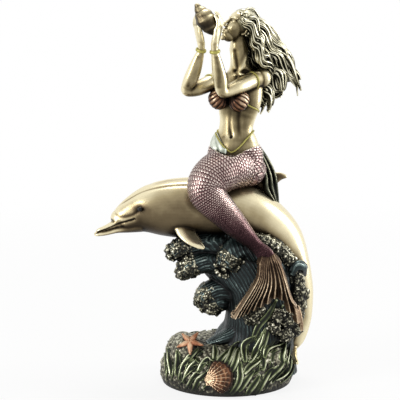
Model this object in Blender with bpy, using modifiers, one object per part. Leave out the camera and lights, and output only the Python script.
"""Mermaid riding a dolphin over a breaking wave: a figurine cast in one piece.

The scene is in metres with +Z up. The figure is seen from -Y, and the origin is the middle of
the flat underside. Forms are modelled in millimetres in one lump of clay, and cast_figurine
turns the lump into metres, melts its forms into one skin and cuts the underside flat.
"""

import math
import random

import bmesh
import bpy
import numpy as np
from mathutils import Matrix, Vector
from mathutils.bvhtree import BVHTree

MM = 0.001

# Base and rock
BASE_WIDTH = 102.0
BASE_DEPTH = 92.0
ROCK_HEIGHT = 34.0
STARFISH_REACH = 10.0
SCALLOP_SIZE = 18.5
WEED_WIDTH = 4.2
WEED_THICKNESS = 3.6
BLADE_STEPS = 9

# Wave
TRUNK_WIDTH = 53.0
TRUNK_DEPTH = 44.0
CREST_GIRTH = 23.0
WATER_ROPES = 14
FOAM_SIZE = 6.4

# Dolphin, from the tip of its beak to the far side of its tail stock
DOLPHIN_LENGTH = 163.0
DOLPHIN_GIRTH = 47.0
DOLPHIN_RIDGE_HEIGHT = 134.0
BEAK_WIDTH = 10.4
FLIPPER_WIDTH = 13.0
DORSAL_WIDTH = 22.0
FIN_THICKNESS = 5.0
DOLPHIN_TAIL_SPAN = 62.0

# Mermaid, FIGURE_HEIGHT tall from the seat to the tip of the conch
FIGURE_HEIGHT = 133.6
HIP_WIDTH = 40.4
WAIST_WIDTH = 25.6
CHEST_WIDTH = 34.0
NECK_WIDTH = 13.4
UPPER_ARM_WIDTH = 12.6
WRIST_WIDTH = 6.4
FINGER_WIDTH = 2.7
PALM_TURN = 0.4
HEAD_HEIGHT = 26.0
LOCK_WIDTH = 10.0
LOCK_WAVE = 1.8
BRA_CUP_WIDTH = 14.4
TAIL_WIDTH = 38.0
ANKLE_WIDTH = 10.0
TAIL_FIN_THICKNESS = 3.4
TAIL_FIN_RAYS = 12
SASH_FOLD_WIDTH = 6.4
CONCH_WIDTH = 15.6

# Sizes at which the tables of stations below are written; the driving sizes above scale them.
DRAWN_DOLPHIN = 163.0
DRAWN_FIGURE = 133.6
DRAWN_HEAD = 24.6

# Skin of the casting
GRAIN = 0.845
SOFTENING_PASSES = 3
SURFACE_SHARE = 0.0285

RIGHT = Vector((1, 0, 0))
AWAY = Vector((0, 1, 0))
UP = Vector((0, 0, 1))


def smooth_rows(stations, steps):
    """Rows on a smooth curve through the stations, with steps rows to each stretch."""
    known = np.array(stations, float)
    ends = [2 * known[0] - known[1]], [2 * known[-1] - known[-2]]
    padded = np.vstack([ends[0], known, ends[1]])
    rows = []
    for start in range(len(known) - 1):
        before, near, far, after = padded[start : start + 4]
        for t in np.arange(steps) / steps:
            bend = (2 * before - 5 * near + 4 * far - after) * t**2
            twist = (3 * near - before - 3 * far + after) * t**3
            rows.append(0.5 * (2 * near + (far - before) * t + bend + twist))
    rows.append(known[-1])
    return np.array(rows)


def point_along(rows, share):
    """The point at this share of the way through the rows."""
    shares = np.linspace(0, 1, len(rows))
    return Vector([np.interp(share, shares, rows[:, axis]) for axis in range(3)])


def ring_places(rows, across):
    """One matrix for each row (x, y, z, half width, half thickness): a unit ring's place and size."""
    headings = np.gradient(rows[:, :3], axis=0)
    places = []
    for row, heading in zip(rows, headings):
        along = Vector(heading).normalized()
        side = (across - across.dot(along) * along).normalized()
        thick = along.cross(side)
        place = Matrix((side * max(row[3], 0.2), thick * max(row[4], 0.2), along)).transposed().to_4x4()
        place.translation = Vector(row[:3])
        places.append(place)
    return places


def add_to_clay(clay, form):
    """Joins one closed form to the lump, facing out."""
    bmesh.ops.recalc_face_normals(form, faces=form.faces)
    mesh = bpy.data.meshes.new("form")
    form.to_mesh(mesh)
    form.free()
    clay.from_mesh(mesh)
    bpy.data.meshes.remove(mesh)


def add_limb(clay, stations, across=RIGHT, sides=12, steps=3):
    """A closed limb through stations of (x, y, z, half width, half thickness)."""
    places = ring_places(smooth_rows(stations, steps), across)
    form = bmesh.new()
    bmesh.ops.create_circle(form, segments=sides, radius=1, cap_ends=True, matrix=places[0])
    rim = list(form.edges)
    for before, after in zip(places, places[1:]):
        grown = bmesh.ops.extrude_edge_only(form, edges=rim)["geom"]
        corners = {part for part in grown if isinstance(part, bmesh.types.BMVert)}
        edges = [part for part in grown if isinstance(part, bmesh.types.BMEdge)]
        rim = [edge for edge in edges if corners.issuperset(edge.verts)]
        bmesh.ops.transform(form, matrix=after @ before.inverted(), verts=list(corners))
    bmesh.ops.edgeloop_fill(form, edges=rim)
    add_to_clay(clay, form)


def add_ball(clay, centre, radii, turn=None, segments=14):
    """An ellipsoid with radii along its own axes, turned by a rotation matrix."""
    spin = turn.to_4x4() if turn else Matrix.Identity(4)
    place = Matrix.Translation(centre) @ spin @ Matrix.Diagonal((*radii, 1))
    form = bmesh.new()
    bmesh.ops.create_uvsphere(
        form, u_segments=segments, v_segments=segments * 2 // 3, radius=1, matrix=place
    )
    add_to_clay(clay, form)


def add_sheet(clay, surface, columns, rows, thickness):
    """A closed sheet: surface(u, v) gives its middle for u and v from 0 to 1."""
    form = bmesh.new()
    bmesh.ops.create_grid(form, x_segments=columns, y_segments=rows, size=0.5)
    for corner in form.verts:
        corner.co = surface(corner.co.x + 0.5, corner.co.y + 0.5)
    bmesh.ops.recalc_face_normals(form, faces=form.faces)
    bmesh.ops.solidify(form, geom=list(form.faces), thickness=thickness)
    add_to_clay(clay, form)


def make_mound(clay):
    """The rock that the wave breaks on: oval, steep at its rim, with a boulder on its left."""
    wide, deep = BASE_WIDTH / 2, BASE_DEPTH / 2
    profile = (
        (-0.12, 0.96), (0.0, 0.97), (0.18, 1.0), (0.42, 0.99),
        (0.64, 0.90), (0.84, 0.76), (0.95, 0.55), (1.0, 0.22),
    )
    add_limb(
        clay,
        [(0.5, 0, ROCK_HEIGHT * height, wide * reach, deep * reach) for height, reach in profile],
        sides=40,
    )
    add_ball(clay, (-33, 2, ROCK_HEIGHT * 0.62), (wide * 0.27, deep * 0.55, ROCK_HEIGHT * 0.42))
    add_ball(clay, (-29, -17, ROCK_HEIGHT * 0.74), (wide * 0.27, deep * 0.33, ROCK_HEIGHT * 0.42))
    add_ball(clay, (20, 16, ROCK_HEIGHT * 0.8), (wide * 0.52, deep * 0.5, ROCK_HEIGHT * 0.5))
    add_ball(clay, (34, -14, ROCK_HEIGHT * 0.6), (wide * 0.3, deep * 0.44, ROCK_HEIGHT * 0.5))


def make_trunk(clay):
    """The standing water, from inside the rock up into the dolphin's belly."""
    wide, deep = TRUNK_WIDTH / 2, TRUNK_DEPTH / 2
    stations = (
        (20, 1, 12, 1.32, 1.48), (22, 0, 27, 1.18, 1.3), (25, -1, 40, 1.02, 1.2),
        (26, -2, 54, 0.97, 1.14), (26, -3, 68, 0.97, 1.12), (24, -3, 80, 1.0, 1.1),
        (19, -2, 91, 1.16, 1.0), (13, 0, 103, 1.3, 0.86), (9, 3, 114, 1.26, 0.7),
        (8, 4, 126, 1.0, 0.5),
    )
    add_limb(clay, [(x, y, z, wide * w, deep * d) for x, y, z, w, d in stations], sides=28)
    for rope in range(WATER_ROPES):
        turn = 2 * math.pi * rope / WATER_ROPES
        path = []
        for x, y, z, w, d in stations[1:-2]:
            lean = turn + (z - 40) * 0.012
            path.append((x + wide * w * math.cos(lean), y + deep * d * math.sin(lean), z, 3.0, 2.2))
        add_limb(clay, path, Vector((-math.sin(turn), math.cos(turn), 0)), sides=8, steps=2)


# Each crest runs from inside the trunk up and over to its curled tip: (x, y, z, share of girth).
CRESTS = (
    ((14, -2, 96, 1.0), (0, -6, 105, 0.98), (-16, -8, 109, 0.9), (-32, -9, 107, 0.78), (-41, -10, 102, 0.6)),
    ((12, -4, 84, 1.0), (-2, -9, 93, 0.98), (-15, -11, 96, 0.92), (-27, -12, 93, 0.85), (-33, -12, 87, 0.6)),
    ((24, -4, 60, 0.95), (7, -5, 69, 0.95), (-5, -7, 73, 0.9), (-15, -8, 69, 0.84), (-17, -8, 62, 0.62)),
    ((22, -10, 98, 1.0), (12, -16, 107, 0.95), (3, -19, 103, 0.9), (-1, -20, 94, 0.76)),
    ((26, 8, 92, 1.0), (10, 14, 102, 0.95), (-6, 17, 104, 0.85), (-20, 18, 99, 0.6)),
    ((30, 8, 60, 0.95), (16, 18, 74, 0.9), (4, 23, 78, 0.75), (-5, 24, 71, 0.55)),
    ((61, 0, 83, 0.34), (60, -8, 91, 0.4), (54.5, -12, 92.5, 0.4), (50, -13, 87, 0.32)),
)
# The foam line that runs down the dolphin's near side, and its twin on the far side.
FOAM_RUNS = (
    ((16, -16, 112), (27, -17, 112), (36, -15, 107), (45, -11, 99), (52, -8, 88)),
    ((52, -8, 88), (54, -9, 76), (54, -9, 62), (53, -8, 50), (48, -8, 40)),
    ((18, 22, 108), (32, 23, 104), (44, 21, 92), (49, 20, 76), (48, 18, 60)),
)
# Heaps of foam round the foot of the tail fin: (x, y, z, radius).
FOAM_HEAPS = (
    (12, -26, 62, 5.5), (19, -27, 56, 6.5), (24, -28, 62, 5.5), (38, -26, 57, 6.5), (46, -23, 53, 7.5),
    (51, -19, 45, 7), (44, -25, 43, 6.5), (35, -28, 49, 5), (57, -7, 70, 6.5), (56, -9, 62, 6.5),
)
# The foot of the wave, which sweeps out over the rock to the left: (x, y, z, half width, half height).
WAVE_FOOT = (
    (27, -12, 58, 13, 10), (17, -15, 47, 13, 9), (6, -18, 39, 10, 6), (-6, -19, 35, 7, 3.4),
    (-15, -19, 32, 3, 1.6),
)


def make_wave(clay):
    """Curling crests, knobbly with foam at their tips, and foam down both sides of the dolphin."""
    chance = random.Random(7)
    half = CREST_GIRTH / 2
    add_ball(clay, (-6.5, -7, 65.5), (half, half * 0.9, half * 0.9))
    for crest in CRESTS:
        add_limb(clay, [(x, y, z, half * share, half * share * 0.86) for x, y, z, share in crest], AWAY)
        for x, y, z, share in smooth_rows(crest, 5)[-12:]:
            add_foam(clay, chance, (x, y, z), half * share)
    for run in FOAM_RUNS:
        add_limb(clay, [(*point, FOAM_SIZE, FOAM_SIZE) for point in run], AWAY)
        for point in smooth_rows(run, 3):
            add_foam(clay, chance, point, FOAM_SIZE)
    for *centre, reach in FOAM_HEAPS:
        add_ball(clay, Vector(centre), (reach, reach, reach))
        for _ in range(3):
            add_foam(clay, chance, centre, reach)
    add_limb(clay, WAVE_FOOT, AWAY)


def add_foam(clay, chance, centre, reach):
    """Two bubbles of foam at the surface of a round form about centre."""
    for _ in range(2):
        outward = Vector([chance.gauss(0, 1) for _ in range(3)]).normalized()
        size = FOAM_SIZE * chance.uniform(0.38, 0.62)
        add_ball(clay, Vector(centre) + outward * reach * 0.8, (size, size, size * 0.8), segments=9)


# The dolphin's spine, head first: (x, y, height over the ridge height, share of girth).
SPINE = (
    (-84, -9, -10.2, 0.25), (-79.5, -7, -7.4, 0.4), (-69, -4, -3.2, 0.61), (-57.8, -2, -0.4, 0.79),
    (-44.2, 0, 0.4, 0.92), (-27.6, 2, 0.1, 0.99), (-8.6, 4, -0.3, 1.0), (10.5, 5, -3, 0.97),
    (28.7, 6, -12.6, 0.85), (42.3, 7, -25.3, 0.72), (51, 8, -44.3, 0.575), (56.5, 9, -61.7, 0.46),
    (58.4, 9, -73.6, 0.39), (58.9, 9, -88.5, 0.315), (55.4, 8, -103, 0.265), (49.5, 7, -111, 0.2),
)


def along_dolphin(stations):
    """Stations of the dolphin, stretched to its length."""
    return [(x * DOLPHIN_LENGTH / DRAWN_DOLPHIN, *rest) for x, *rest in stations]


def make_dolphin(clay):
    """A leaping dolphin, its belly on the wave and its tail curled down behind it."""
    half, ridge = DOLPHIN_GIRTH / 2, DOLPHIN_RIDGE_HEIGHT
    spine = [(x, y, ridge + z, half * g, half * g) for x, y, z, g in SPINE]
    add_limb(clay, along_dolphin(spine), AWAY, sides=24, steps=4)
    beak = BEAK_WIDTH / 2
    upper_jaw = (
        (-97.6, -13.6, -15.0, 0.35, 0.2), (-95.6, -13, -14.2, 0.62, 0.32), (-90, -11.6, -12.2, 0.78, 0.4),
        (-83, -9.4, -9.8, 1.0, 0.66), (-75, -7, -7.8, 1.5, 1.1), (-66, -5, -5, 2.0, 1.6),
    )
    lower_jaw = (
        (-99.4, -14, -17.0, 0.35, 0.22), (-97, -13.4, -16.9, 0.62, 0.32), (-91, -11.8, -16.3, 0.74, 0.38),
        (-83, -9.6, -14.4, 0.96, 0.5), (-75, -7, -12.6, 1.4, 0.9), (-66, -5, -10, 2.0, 1.4),
    )
    for jaw in (upper_jaw, lower_jaw):
        stations = [(x, y, ridge + z, beak * w, beak * t) for x, y, z, w, t in jaw]
        add_limb(clay, along_dolphin(stations), AWAY, sides=14)
    for eye in along_dolphin(((-65.6, -17.6, ridge + 2.2), (-66.4, 11.0, ridge + 2.2))):
        add_ball(clay, eye, (2.6, 1.8, 2.2))
    make_flippers(clay)
    make_dorsal_fin(clay)
    make_dolphin_tail(clay)


def make_flippers(clay):
    """A flipper on each side, swept back and down."""
    wide, thick = FLIPPER_WIDTH / 2, FIN_THICKNESS / 2
    stations = (
        (-34, -13, 125, 1.0, 1.3), (-31, -18, 119.5, 1.0, 1.1), (-26, -22, 115, 0.92, 0.8),
        (-21, -25, 111.5, 0.62, 0.62), (-17.5, -26.5, 109, 0.2, 0.4),
    )
    for side, shift in ((1, 0), (-1, 4)):
        flipper = [(x, y * side + shift, z, wide * w, thick * t) for x, y, z, w, t in stations]
        add_limb(clay, along_dolphin(flipper), Vector((1, 0, -0.25)))


def make_dorsal_fin(clay):
    """The dorsal fin, leaning back behind the rider."""
    wide, thick = DORSAL_WIDTH / 2, FIN_THICKNESS / 2
    stations = (
        (23, 6, 141, 1.0, 1.6), (28, 7, 149, 0.82, 1.1), (34.5, 9, 154.6, 0.52, 0.85),
        (41, 11, 157, 0.3, 0.7), (46.8, 12, 156.6, 0.1, 0.35),
    )
    dorsal = [(x, y, z, wide * w, thick * t) for x, y, z, w, t in stations]
    add_limb(clay, along_dolphin(dorsal), Vector((0.8, 0, -0.6)))


def make_dolphin_tail(clay):
    """Two tail blades, spread to the near and the far side of the tail stock."""
    reach, thick = DOLPHIN_TAIL_SPAN / 2, FIN_THICKNESS / 2
    root = Vector((50, 7, 22.5))
    lobe = ((0, 0, 0, 5.4, 1.3), (0.35, -1, -1, 6.2, 1.0), (0.7, 0, -2, 4.6, 0.8), (1.0, 4, -3, 1.2, 0.5))
    for side in (-1, 1):
        blade = [(root.x + x, root.y + side * reach * s, root.z + z, w, thick * t) for s, x, z, w, t in lobe]
        add_limb(clay, along_dolphin(blade), Vector((1, 0, 0.35)))


def seat():
    """The top of the dolphin's back, where the mermaid sits."""
    return Vector((7.5, 0, DOLPHIN_RIDGE_HEIGHT - 2.4 + DOLPHIN_GIRTH / 2))


def on_figure(x, y, z):
    """A place measured from the seat, at the figure's size."""
    return seat() + Vector((x, y, z)) * (FIGURE_HEIGHT / DRAWN_FIGURE)


def seated(stations):
    """Stations measured from the seat, at the figure's size."""
    return [(*on_figure(x, y, z), *sizes) for x, y, z, *sizes in stations]


CHEST_ACROSS = Vector((0.978, -0.208, 0))


def make_torso(clay):
    """Hips, waist, chest and neck, turned a little to the figure's right."""
    hip, waist, chest, neck = HIP_WIDTH / 2, WAIST_WIDTH / 2, CHEST_WIDTH / 2, NECK_WIDTH / 2
    stations = (
        (0, -3.5, 8, hip * 0.98, hip * 0.82), (-1, -4.5, 17, hip * 1.03, hip * 0.77),
        (-1.2, -3.8, 24.6, hip * 0.98, hip * 0.7), (-0.9, -2.4, 31.6, hip * 0.82, hip * 0.58),
        (-0.5, -1, 40.4, waist, waist * 0.77), (0.7, 0, 50, waist * 1.09, waist * 0.8),
        (1.6, -0.5, 59, chest * 0.97, chest * 0.64), (2.3, 0, 67.2, chest, chest * 0.62),
        (3, 1, 74.4, chest * 0.94, chest * 0.52), (2.8, 1.8, 80.4, neck * 1.8, neck * 1.15),
        (2.3, 1.4, 85.4, neck * 1.16, neck * 1.06), (1.7, 0.5, 93, neck, neck),
        (1.1, -0.5, 101, neck * 0.95, neck * 1.02), (1.4, -1, 108, neck, neck),
    )
    add_limb(clay, seated(stations), CHEST_ACROSS, sides=20)
    add_ball(clay, on_figure(8, 2, 8), (hip * 0.72, hip * 0.8, hip * 0.62))
    cup = BRA_CUP_WIDTH / 2
    for centre in ((-13.6, -9.9, 63), (1.4, -13.9, 61.8)):
        add_ball(clay, on_figure(*centre), (cup, cup * 0.94, cup))
    for centre in ((18.6, -1.4, 78), (-14, 1.6, 76.6)):
        add_ball(clay, on_figure(*centre), (UPPER_ARM_WIDTH * 0.55,) * 3)


def make_arms(clay):
    """Both arms, bent at the elbow and raised to the left, with the hands cupped round the conch."""
    arm, wrist = UPPER_ARM_WIDTH / 2, WRIST_WIDTH / 2
    near = (
        (18.6, -1, 78.4, arm, arm), (9.6, -8, 75.8, arm * 0.95, arm * 0.95),
        (0, -17, 72.4, arm * 0.9, arm * 0.9), (-9.6, -24.8, 68.8, arm * 0.78, arm * 0.78),
        (-12.2, -27.2, 71, arm * 0.78, arm * 0.78), (-13, -28, 78.6, arm * 0.84, arm * 0.84),
        (-14.8, -30, 88.8, arm * 0.7, arm * 0.7), (-16.8, -32, 99.4, wrist, wrist * 0.85),
        (-17, -32.8, 105, wrist * 1.1, wrist * 0.9),
    )
    far = (
        (-14, 1, 76.9, arm, arm), (-21.5, -7, 73.9, arm * 0.95, arm * 0.95),
        (-29.8, -13, 71, arm * 0.9, arm * 0.9), (-36.4, -17.2, 69.6, arm * 0.8, arm * 0.8),
        (-36.4, -18.4, 73, arm * 0.8, arm * 0.8), (-33.6, -20.8, 80, arm * 0.86, arm * 0.86),
        (-30, -24, 90, arm * 0.72, arm * 0.72), (-26.8, -27, 100, wrist, wrist * 0.85),
        (-26.6, -28, 105.6, wrist * 1.1, wrist * 0.9),
    )
    for arm_stations in (near, far):
        add_limb(clay, seated(arm_stations), AWAY, sides=12)
    make_hand(clay, on_figure(-17, -32.8, 104), 1)
    make_hand(clay, on_figure(-26.6, -28, 104.6), -1)


def make_hand(clay, wrist, outward):
    """A hand that rises from the wrist, its palm towards the conch: outward is +1 on the conch's right."""
    palm = (
        (0, 0, 0, 3.2, 2.8), (0.8 * outward, -0.4, 4, 4.6, 2.7),
        (2.0 * outward, -0.6, 9, 5.4, 2.5), (2.6 * outward, -0.6, 13, 5.2, 2.0),
    )
    turned = Vector((PALM_TURN * outward, 1, 0))
    add_limb(clay, [(wrist.x + x, wrist.y + y, wrist.z + z, w, t) for x, y, z, w, t in palm], turned)
    thick = FINGER_WIDTH / 2
    for finger, length in enumerate((0.86, 1.0, 0.96, 0.76)):
        spread = (finger - 1.5) * FINGER_WIDTH * 0.92
        lean = PALM_TURN * spread
        path = (
            (2.5 + lean, spread, 11), (3.6 + lean, spread, 11 + 4.5 * length),
            (3.0 + lean, spread, 11 + 9.5 * length), (0.9 + lean, spread, 11 + 13 * length),
        )
        stations = [
            (wrist.x + x * outward, wrist.y + y, wrist.z + z, thick * fade, thick * fade)
            for (x, y, z), fade in zip(path, (1.1, 1.0, 0.95, 0.75))
        ]
        add_limb(clay, stations, AWAY, sides=8)
    thumb = ((-1.2, -3.2, 3.5, 1.25), (-1.8, -4.4, 7, 1.2), (-2.5, -4.8, 10.4, 1.1), (-3.5, -4.2, 13.4, 0.9))
    add_limb(
        clay,
        [(wrist.x + x * outward, wrist.y + y, wrist.z + z, thick * f, thick * f) for x, y, z, f in thumb],
        AWAY,
        sides=8,
    )


def make_conch(clay):
    """The conch between the hands, its spire up and to the left."""
    half = CONCH_WIDTH / 2
    stations = (
        (-14, -31.5, 111, 0.28, 0.28), (-17, -31.4, 114.5, 0.66, 0.62), (-20.5, -31.2, 118.6, 0.96, 0.88),
        (-24, -31, 123, 1.0, 0.94), (-26.6, -30.6, 127, 0.72, 0.7), (-28.6, -30.4, 130, 0.42, 0.42),
        (-30.4, -30.2, 133.4, 0.2, 0.2),
    )
    add_limb(clay, seated([(x, y, z, half * w, half * t) for x, y, z, w, t in stations]), AWAY, sides=14)


def head_place():
    """The head's centre and turn: its own +Y is the way the face looks, up and to the figure's right."""
    forward = Vector((-0.76, -0.38, 0.53)).normalized()
    side = forward.cross(UP).normalized()
    turn = Matrix((side, forward, side.cross(forward))).transposed()
    return on_figure(0.8, -3, 114.6), turn


def make_head(clay):
    """Skull, face and jaw on even proportions: eyes at half height, nose and lips below."""
    centre, turn = head_place()
    unit = HEAD_HEIGHT / DRAWN_HEAD
    forms = (
        ((0, -1.6, 3.0), (7.8, 9.6, 8.8)),
        ((0, 3.2, -2.2), (6.4, 6.6, 8.4)),
        ((0, 4.4, -7.6), (4.2, 4.8, 3.8)),
        ((0, 7.6, -9.6), (2.2, 1.8, 2.0)),
        ((0, 9.0, 4.8), (4.6, 1.6, 2.8)),
        ((0, 8.8, -5.6), (2.2, 1.6, 1.1)),
        ((-7.4, -1.4, -1.2), (1.0, 1.8, 2.8)),
        ((7.4, -1.4, -1.2), (1.0, 1.8, 2.8)),
    )
    for offset, radii in forms:
        place = centre + turn @ Vector(offset) * unit
        add_ball(clay, place, [radius * unit for radius in radii], turn)
    nose = ((9.4, 2.2, 0.8), (10.6, -0.4, 1.0), (11.3, -2.2, 1.4), (9.4, -3.4, 1.2))
    bridge = []
    for forward, height, thick in nose:
        point = centre + turn @ Vector((0, forward, height)) * unit
        bridge.append((*point, thick * unit, thick * unit))
    add_limb(clay, bridge, turn @ RIGHT, sides=8)


# Hair locks, swept back on the wind: (x, y, z) from the seat, root to tip.
LOCKS = (
    ((-2, 0, 122), (6, 1, 125), (15, 5, 119), (24, 8, 108), (33.5, 11, 98), (40, 14, 87), (46, 16, 77)),
    ((1, -5, 122), (9, -3, 121), (18, 1, 114), (28, 6, 103), (35, 10, 92), (44, 13, 79), (46.5, 15, 63)),
    ((2, 4, 120), (11, 7, 118), (19, 10, 108), (26, 13, 99), (36, 16, 88), (40, 18, 77), (46, 18, 70)),
    ((5, -7, 119), (13, -5, 116), (20, -1, 107), (26, 4, 97), (33, 9, 88), (40, 12, 77), (45, 14, 70)),
    ((8, -6, 112), (14, -4, 107), (18, 0, 98), (24, 5, 89), (31, 9, 80), (35, 11, 71), (34, 11, 64)),
    ((8, 0, 110), (14, 3, 103), (18, 6, 94), (22, 9, 84), (27, 11, 74), (31, 11, 65), (34, 10, 62)),
    ((8, 4, 108), (13, 7, 100), (16, 9, 90), (19, 10, 79), (23, 10, 68), (26, 9, 58), (24, 7, 51)),
    ((6, 6, 112), (12, 10, 106), (18, 13, 97), (24, 15, 87), (28, 15, 76), (27, 13, 66), (21, 10, 58)),
    ((4, 6, 104), (8, 9, 95), (11, 11, 86), (14, 11, 76), (18, 10, 66), (20, 8, 56), (18, 6, 50)),
    ((3, 7, 118), (11, 11, 117), (19, 14, 109), (26, 17, 99), (31, 18, 88), (33, 17, 78), (30, 15, 70)),
    ((4, -7, 123), (9, -9, 119), (13, -9, 112), (15, -8, 104), (18, -6, 96), (22, -2, 88), (27, 3, 80)),
    ((-3, 3, 123), (3, 7, 123), (10, 10, 117), (17, 13, 108), (26, 15, 96), (36, 16, 84), (44, 17, 76)),
)


def make_hair(clay):
    """A cap of hair over the skull, and locks that stream from it."""
    centre, turn = head_place()
    unit = HEAD_HEIGHT / DRAWN_HEAD
    crown = centre + turn @ Vector((0, -3.2, 3.4)) * unit
    add_ball(clay, crown, (9.4 * unit, 9.6 * unit, 9.4 * unit), turn)
    shares = np.interp(np.arange(7), (0, 1.5, 4, 6), (0.75, 1.0, 0.95, 0.3))
    for number, lock in enumerate(LOCKS):
        for strand in (-1, 1):
            stations = []
            for index, ((x, y, z), share) in enumerate(zip(lock, shares)):
                wave = LOCK_WAVE * math.sin(number + 2.3 * index + 1.6 * strand) * min(1, index / 2)
                side = LOCK_WIDTH * 0.22 * strand
                half = LOCK_WIDTH * 0.38 * share
                stations.append((x + 0.4 * wave, y + side, z + 0.6 * side + wave, half, half * 0.7))
            add_limb(clay, seated(stations), AWAY, sides=8)


def make_tail(clay):
    """The scaled tail: over the lap, down past the knee and along the dolphin's near side."""
    full, ankle = TAIL_WIDTH / 2, ANKLE_WIDTH / 2
    stations = (
        (0, -4, 10, full, full * 0.8), (-6.5, -14, 12, full * 0.97, full * 0.84),
        (-14.5, -23, 9.5, full * 0.89, full * 0.82), (-21, -29.5, 4.4, full * 0.79, full * 0.77),
        (-23, -32.5, -1.6, full * 0.72, full * 0.69), (-19, -34, -8.6, full * 0.65, full * 0.63),
        (-11, -34, -17, full * 0.58, full * 0.55), (-2, -33, -26.8, full * 0.49, full * 0.45),
        (7, -31.5, -36.4, ankle * 1.38, ankle * 1.24), (14.2, -31, -43.6, ankle * 1.04, ankle * 0.84),
        (20.6, -32.4, -50.5, ankle * 1.36, ankle * 0.66),
    )
    add_limb(clay, seated(stations), Vector((0.9, 0, 0.3)), sides=18)


# Curves down the tail fin, from its left edge over the notch to its right edge: how far across the
# fan each lies, and its points from the seat.
FIN_CURVES = (
    (0.0, (
        (15.8, -33, -49.1), (15.2, -34.3, -57.1), (13.8, -35.4, -65.9),
        (7.6, -36.1, -76.4), (1.3, -36.4, -85.4), (-5.1, -36.5, -94.8),
    )),
    (0.3, (
        (18.9, -33, -49.1), (19.3, -34, -59.4), (18.3, -34.8, -68.3),
        (14.6, -35.2, -76.6), (9.5, -35.2, -84.9), (5.1, -35, -91.9),
    )),
    (0.55, (
        (22.2, -33, -49.1), (23.4, -33.7, -58.7), (24.2, -34.3, -66.9),
        (23.5, -34.4, -73.7), (21.3, -34.2, -79.9), (19.9, -33.8, -85.7),
    )),
    (0.72, (
        (24.8, -33, -49.1), (27.5, -33.6, -57.3), (29.4, -33.9, -64.7),
        (30.5, -33.9, -70.8), (31, -33.5, -75.5), (30.8, -32.9, -80.2),
    )),
    (0.86, (
        (26.7, -33, -49.5), (30.4, -33.4, -58.1), (33.8, -33.6, -67.8),
        (36.5, -33.5, -77.8), (39.3, -32.9, -86.3), (41.6, -32.2, -94.5),
    )),
    (1.0, (
        (28, -33, -49.8), (33.8, -33.3, -59.6), (37.2, -33.4, -71.7),
        (41.4, -33.1, -83.2), (47.6, -32.4, -92.5), (50, -31.5, -106.6),
    )),
)


def make_tail_fin(clay):
    """The tail fin: a fan of rays from the ankle, hanging in front of the wave."""
    shares = [share for share, _ in FIN_CURVES]
    curves = [smooth_rows(curve, 6) for _, curve in FIN_CURVES]

    def surface(u, v):
        """u runs across the fan from left to right, and v down its rays."""
        reached = [point_along(curve, v) for curve in curves]
        point = [np.interp(u, shares, [place[axis] for place in reached]) for axis in range(3)]
        spacing = (reached[-1] - reached[0]).length / TAIL_FIN_RAYS
        ridge = 0.36 * min(spacing, 4.2) * math.cos(u * TAIL_FIN_RAYS * 2 * math.pi)
        return on_figure(*point) - AWAY * ridge

    add_sheet(clay, surface, TAIL_FIN_RAYS * 6, 16, TAIL_FIN_THICKNESS)


def make_sash(clay):
    """Folds of cloth that hang behind the hips over the dolphin's back."""
    wide = SASH_FOLD_WIDTH / 2
    for fold in range(4):
        shift = fold * 2.8
        stations = (
            (15 + shift * 0.3, 2.6 + shift, 24 - shift * 0.3, wide * 0.6, wide * 0.6),
            (19 + shift * 0.7, 1.6 + shift, 12, wide * 0.84, wide * 0.7),
            (22 + shift * 0.9, 0.6 + shift, -2, wide * 0.84, wide * 0.8),
            (25 + shift, -0.4 + shift, -13 - shift * 1.2, wide * 0.4, wide * 0.5),
        )
        add_limb(clay, seated(stations), Vector((0.8, 0.5, 0)), sides=8)


def make_starfish(clay):
    """A five-armed starfish on the slope of the boulder."""
    normal = Vector((-0.12, -0.66, 0.74)).normalized()
    side = RIGHT - RIGHT.dot(normal) * normal
    side.normalize()
    over = normal.cross(side)
    centre = Vector((-27.4, -26, ROCK_HEIGHT * 1.08))
    for arm in range(5):
        angle = math.radians(-18 + 72 * arm)
        out = side * math.cos(angle) + over * math.sin(angle)
        across = out.cross(normal)
        stations = [
            (*(centre + out * STARFISH_REACH * t + normal * lift), 2.6 * size, 1.7 * size)
            for t, lift, size in ((-0.1, 0, 1), (0.3, 0.3, 0.95), (0.7, 0, 0.6), (1, -0.4, 0.25))
        ]
        add_limb(clay, stations, across, sides=8)


def make_scallop(clay):
    """A ribbed scallop shell on the front of the rock, hinge to the left."""
    normal = Vector((-0.1, -0.93, 0.35)).normalized()
    side = (RIGHT - RIGHT.dot(normal) * normal).normalized()
    over = normal.cross(side)
    hinge = Vector((-15.8, -BASE_DEPTH / 2 + 1.4, ROCK_HEIGHT * 0.37))
    ribs = 9
    lean = math.radians(12)

    def surface(u, v):
        """u runs round the fan, and v from the hinge to the lip."""
        angle = math.radians(-64 + 128 * u)
        reach = SCALLOP_SIZE * v * math.cos(angle) ** 0.6
        dome = 5.2 * math.sin(math.pi * min(1, v * 0.92 + 0.04)) * math.cos(angle)
        rib = 0.7 * v * math.cos(2 * math.pi * ribs * u)
        out = side * math.cos(angle + lean) + over * math.sin(angle + lean)
        return hinge + out * (reach + 0.4) + normal * (dome + rib)

    add_sheet(clay, surface, ribs * 5, 9, 2.6)


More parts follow.
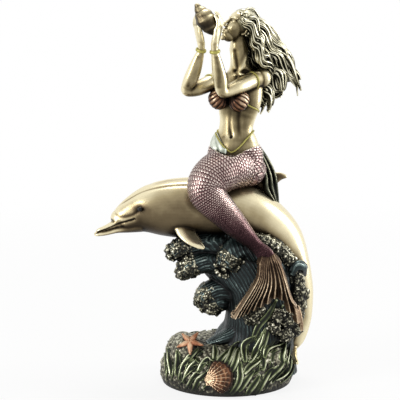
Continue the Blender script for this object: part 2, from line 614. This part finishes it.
# Weed blades as seen from the front, each from its root to its tip: (x, z). The back has the same.
WEEDS = (
    ((-41, 11), (-42, 21), (-44, 27)), ((-37, 12), (-36, 24), (-37, 31)),
    ((-35, 9), (-31.6, 21), (-27, 28), (-21.5, 32)), ((-32, 8), (-27.5, 18), (-23, 22.5), (-21, 26)),
    ((-29, 5), (-24, 14), (-19.5, 19)), ((-24, 3), (-21.5, 11), (-18, 15), (-14, 18)),
    ((-21, 17), (-17, 24), (-11, 26.5), (-5, 24)), ((-35, 17), (-29.6, 24), (-23.5, 26.5), (-20.5, 23)),
    ((-9, 26), (-8, 30), (-9, 33.5)), ((-7, 24), (-3, 28), (2, 31)),
    ((-2, 21), (1.5, 26.5), (5, 32), (10, 37)),
    ((2, 18), (6, 24.4), (8.2, 30.7), (12.2, 33)), ((3, 3), (8, 10), (10.2, 15.7), (9, 21), (10, 26)),
    ((12.5, 17), (16.2, 21.7), (21, 23.5), (25.5, 26)), ((15, 2), (17.6, 7.3), (21.3, 11.2), (24, 16)),
    ((21.7, 2), (25.4, 9), (29.7, 14.3), (34.7, 20)),
    ((13.8, 24), (12.8, 30), (13.5, 35.5), (17, 39), (22, 42)),
    ((17, 24), (20.7, 29.3), (23.4, 34), (26.8, 41), (29.3, 47)),
    ((22, 26), (26.5, 32.5), (28.5, 40), (30.3, 46), (31.6, 53)),
    ((20, 40), (22.5, 47.6), (26, 53), (30.6, 57.5), (33, 63), (37, 70)),
    ((29, 26), (30, 33), (34.3, 34.5), (40.4, 34.5), (44.5, 39)),
    ((41.4, 22), (40.7, 27), (42.7, 33), (44, 38)),
    ((36, 10), (42, 12), (46.8, 17), (47.8, 24)), ((30, 11), (35, 16.4), (39.7, 20), (43.4, 25)),
    ((8, 5), (12, 10), (16, 15), (20, 19)), ((26.3, 18), (28, 24), (27, 31), (29, 36)),
)


def make_weeds(clay):
    """Blades of weed that climb the rock and the foot of the wave, half sunk in them."""
    ground = BVHTree.FromBMesh(clay)
    for blade in WEEDS:
        path = smooth_rows(blade, 6)
        for face in (-1, 1):
            stations = []
            for t in np.linspace(0, 1, BLADE_STEPS):
                x, z = (np.interp(t, np.linspace(0, 1, len(path)), path[:, axis]) for axis in range(2))
                outside = Vector((x, face * BASE_DEPTH, z))
                hit, normal, _, _ = ground.ray_cast(outside, -AWAY * face)
                if hit is None:
                    continue
                size = math.sin(math.pi * (0.16 + 0.8 * t)) ** 0.7
                stations.append((*(hit + normal * 0.9), WEED_WIDTH / 2 * size, WEED_THICKNESS / 2 * size))
            if len(stations) > BLADE_STEPS // 2:
                add_limb(clay, eased(stations), RIGHT, sides=8, steps=2)


def eased(stations):
    """The stations with their kinks evened out, so that a blade bends in one sweep."""
    rows = np.array(stations)
    for _ in range(2):
        rows[1:-1, :3] = (rows[:-2, :3] + 2 * rows[1:-1, :3] + rows[2:, :3]) / 4
    return rows


def bronze_finish():
    """Bronze-powder resin, rubbed back to a warm satin."""
    material = bpy.data.materials.new("bronze_resin")
    material.use_nodes = True
    shader = material.node_tree.nodes["Principled BSDF"]
    shader.inputs["Base Color"].default_value = (0.36, 0.28, 0.15, 1)
    shader.inputs["Metallic"].default_value = 0.8
    shader.inputs["Roughness"].default_value = 0.38
    return material


def melted_mesh(clay, collection):
    """One closed skin over all the forms in the clay, softened and thinned, in metres."""
    bmesh.ops.scale(clay, vec=(MM, MM, MM), verts=clay.verts)
    mesh = bpy.data.meshes.new("clay")
    clay.to_mesh(mesh)
    clay.free()
    lump = bpy.data.objects.new("clay", mesh)
    collection.objects.link(lump)
    skin = lump.modifiers.new("skin", "REMESH")
    skin.mode = "VOXEL"
    skin.voxel_size = GRAIN * MM
    soften = lump.modifiers.new("soften", "SMOOTH")
    soften.factor = 0.5
    soften.iterations = SOFTENING_PASSES
    thin = lump.modifiers.new("thin", "DECIMATE")
    thin.ratio = SURFACE_SHARE
    graph = bpy.context.evaluated_depsgraph_get()
    melted = bpy.data.meshes.new_from_object(lump.evaluated_get(graph))
    bpy.data.objects.remove(lump)
    bpy.data.meshes.remove(mesh)
    return melted


def body_of(corner):
    """All corners that edges join to this one."""
    body = {corner}
    fresh = [corner]
    while fresh:
        fresh = [edge.other_vert(old) for old in fresh for edge in old.link_edges]
        fresh = list(set(fresh) - body)
        body.update(fresh)
    return body


def drop_crumbs(form):
    """Leaves only the largest body, without the crumbs that thinning can break off."""
    bodies = []
    waiting = set(form.verts)
    while waiting:
        bodies.append(body_of(next(iter(waiting))))
        waiting -= bodies[-1]
    bodies.sort(key=len)
    for crumb in bodies[:-1]:
        bmesh.ops.delete(form, geom=list(crumb), context="VERTS")


def cast_figurine(clay, collection):
    """The finished casting: the melted clay, cut flat at the ground and closed there."""
    melted = melted_mesh(clay, collection)
    form = bmesh.new()
    form.from_mesh(melted)
    drop_crumbs(form)
    whole = list(form.verts) + list(form.edges) + list(form.faces)
    bmesh.ops.bisect_plane(form, geom=whole, dist=1e-7, plane_co=(0, 0, 0), plane_no=-UP, clear_outer=True)
    bmesh.ops.holes_fill(form, edges=[edge for edge in form.edges if edge.is_boundary])
    bmesh.ops.triangulate(form, faces=form.faces)
    form.to_mesh(melted)
    form.free()
    melted.name = "mermaid_figurine"
    melted.materials.append(bronze_finish())
    melted.shade_smooth()
    figurine = bpy.data.objects.new("mermaid_figurine", melted)
    collection.objects.link(figurine)
    return figurine


def main():
    for old in list(bpy.data.objects):
        bpy.data.objects.remove(old)
    collection = bpy.data.collections.new("mermaid_on_dolphin")
    bpy.context.scene.collection.children.link(collection)
    clay = bmesh.new()
    make_mound(clay)
    make_trunk(clay)
    make_weeds(clay)
    make_starfish(clay)
    make_scallop(clay)
    make_wave(clay)
    make_dolphin(clay)
    make_torso(clay)
    make_arms(clay)
    make_conch(clay)
    make_head(clay)
    make_hair(clay)
    make_tail(clay)
    make_tail_fin(clay)
    make_sash(clay)
    cast_figurine(clay, collection)


main()
